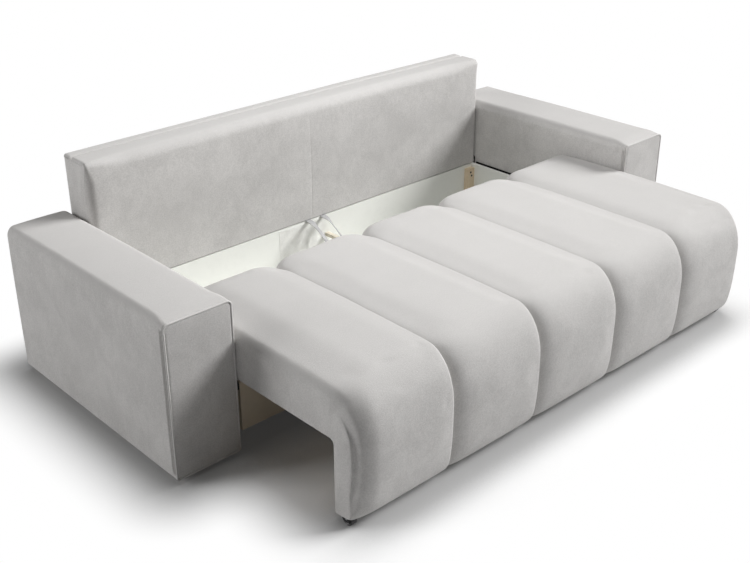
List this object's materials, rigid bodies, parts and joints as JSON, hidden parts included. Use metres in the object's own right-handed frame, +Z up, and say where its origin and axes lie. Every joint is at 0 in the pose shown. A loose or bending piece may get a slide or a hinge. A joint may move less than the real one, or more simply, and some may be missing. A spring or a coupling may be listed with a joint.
{
  "type": "sofa bed",
  "caption": "Pull-out sofa bed in light grey velour with box arms, a channelled waterfall seat on rollers, a folding backrest and a white storage box, shown pulled out.",
  "frame": {"origin": "centre of the overall box at floor level, with the seat pulled out and the backrest up", "axes": "+X to the right seen from the front, +Y to the back, +Z up"},
  "size_m": [2.45, 1.513, 0.753],
  "materials": {
    "velour": "light warm grey short-nap velour, matt with a soft nap",
    "pine": "raw pine and plywood",
    "white_board": "white melamine face and edge band, satin",
    "beech": "raw beech, planed",
    "black_steel": "black semi-gloss lacquer",
    "zinc": "bright zinc plate",
    "webbing": "grey woven webbing",
    "lining": "white non-woven cloth",
    "dust_cloth": "black non-woven cloth",
    "rubber_pad": "black rubber",
    "black_plastic": "black moulded nylon"
  },
  "bodies": {
    "base": {"arm_frame_left": "pine", "arm_frame_right": "pine", "arm_cover_left": "velour", "arm_cover_right": "velour", "arm_piping_left": "velour", "arm_piping_right": "velour", "arm_glides": "black_plastic", "arm_spacers": "pine", "arm_bolts": "zinc", "arm_nuts": "zinc", "box_front_board": "white_board", "box_rear_board": "white_board", "box_side_board_left": "white_board", "box_side_board_right": "white_board", "box_cleats": "pine", "box_bottom_panel": "white_board", "box_corner_blocks": "beech", "box_screws": "black_steel", "box_legs": "black_plastic", "runner_rail_left": "black_steel", "runner_rail_right": "black_steel", "rear_frame": "pine", "rear_cover": "velour", "rest_pads": "rubber_pad", "hinge_bracket_left": "black_steel", "hinge_bracket_right": "black_steel", "hinge_pins": "zinc", "strap_block": "beech", "strap_loop": "webbing", "box_liner": "lining"},
    "seat": {"seat_frame": "pine", "seat_slats": "beech", "apron_board": "pine", "seat_cushion": "velour", "seat_underlining": "dust_cloth", "front_forks": "black_steel", "front_axles": "zinc", "rear_roller_brackets": "black_steel", "rear_axles": "zinc"},
    "front_wheel_left": {"front_roller_left": "black_plastic"},
    "front_wheel_right": {"front_roller_right": "black_plastic"},
    "rear_wheel_left": {"rear_roller_left": "black_plastic"},
    "rear_wheel_right": {"rear_roller_right": "black_plastic"},
    "backrest": {"backrest_frame": "pine", "backrest_webbing": "webbing", "backrest_cushion": "velour", "backrest_rear_pad": "velour", "hinge_plate_left": "zinc", "hinge_plate_right": "zinc", "hinge_screws": "zinc"}
  },
  "joints": [
    {"name": "seat_slide", "type": "slide", "parent": "base", "child": "seat", "axis": [0, 1, 0], "range_m": [0, 0.44]},
    {"name": "backrest_fold", "type": "hinge", "parent": "base", "child": "backrest", "pos_m": [0, 0.6215, 0.2905], "axis": [-1, 0, 0], "range_deg": [-90, 0]},
    {"name": "front_left_roll", "type": "hinge", "parent": "seat", "child": "front_wheel_left", "pos_m": [-0.962, -0.6915, 0.022], "axis": [1, 0, 0], "continuous": true},
    {"name": "front_right_roll", "type": "hinge", "parent": "seat", "child": "front_wheel_right", "pos_m": [0.962, -0.6915, 0.022], "axis": [1, 0, 0], "continuous": true},
    {"name": "rear_left_roll", "type": "hinge", "parent": "seat", "child": "rear_wheel_left", "pos_m": [-0.97905, 0.0935, 0.2475], "axis": [1, 0, 0], "continuous": true},
    {"name": "rear_right_roll", "type": "hinge", "parent": "seat", "child": "rear_wheel_right", "pos_m": [0.97905, 0.0935, 0.2475], "axis": [1, 0, 0], "continuous": true}
  ]
}
